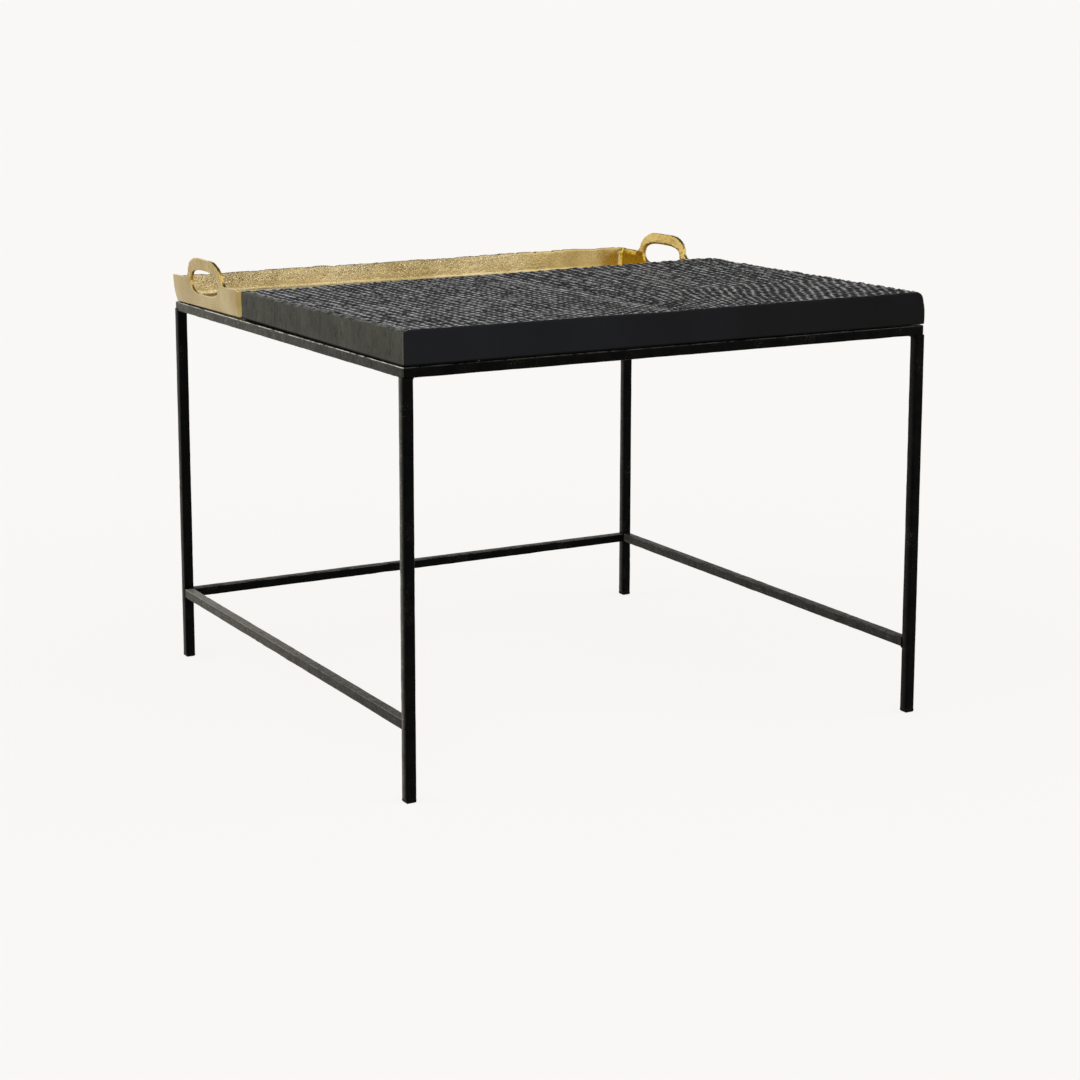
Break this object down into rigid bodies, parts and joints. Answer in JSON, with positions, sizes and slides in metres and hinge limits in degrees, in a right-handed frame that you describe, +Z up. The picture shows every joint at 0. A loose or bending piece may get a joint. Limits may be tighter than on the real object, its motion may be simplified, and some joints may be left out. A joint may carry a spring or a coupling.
{
  "type": "coffee table with lift-off tray",
  "caption": "Low square table: thin black steel frame, carved black wooden slab over the front, and a loose cast brass tray with arched handles behind it.",
  "frame": {"origin": "on the floor under the middle of the steel frame", "axes": "+X to the right along the open front, +Y to the back where the tray lies, +Z up"},
  "size_m": [0.6139, 0.5924, 0.476],
  "materials": {
    "frame_steel": "satin black paint over rough worked steel tube",
    "foot_plastic": "smooth black",
    "slab_wood": "black stained, satin, gouged all over the top",
    "washer_rubber": "matt",
    "screw_zinc": "bright zinc",
    "tray_brass": "satin cast, rough inside the back wall",
    "pad_rubber": "matt"
  },
  "bodies": {
    "table": {"leg_front_left": "frame_steel", "leg_front_right": "frame_steel", "leg_back_left": "frame_steel", "leg_back_right": "frame_steel", "top_rail_front": "frame_steel", "top_rail_back": "frame_steel", "top_rail_left": "frame_steel", "top_rail_right": "frame_steel", "cross_bar": "frame_steel", "stretcher_left": "frame_steel", "stretcher_back": "frame_steel", "stretcher_right": "frame_steel", "slab_tab_front_left": "frame_steel", "slab_tab_front_right": "frame_steel", "slab_tab_back_left": "frame_steel", "slab_tab_back_right": "frame_steel", "foot_plug_front_left": "foot_plastic", "foot_plug_front_right": "foot_plastic", "foot_plug_back_left": "foot_plastic", "foot_plug_back_right": "foot_plastic", "slab_board_left": "slab_wood", "slab_board_right": "slab_wood", "slab_washer_front_left": "washer_rubber", "slab_washer_front_right": "washer_rubber", "slab_washer_back_left": "washer_rubber", "slab_washer_back_right": "washer_rubber", "slab_screw_front_left": "screw_zinc", "slab_screw_front_right": "screw_zinc", "slab_screw_back_left": "screw_zinc", "slab_screw_back_right": "screw_zinc"},
    "tray": {"tray": "tray_brass", "tray_pad_front_left": "pad_rubber", "tray_pad_front_right": "pad_rubber", "tray_pad_back_left": "pad_rubber", "tray_pad_back_right": "pad_rubber"}
  },
  "joints": [
    {"name": "tray_lift", "type": "slide", "parent": "table", "child": "tray", "axis": [0, 0, 1], "range_m": [0, 0.12]}
  ]
}
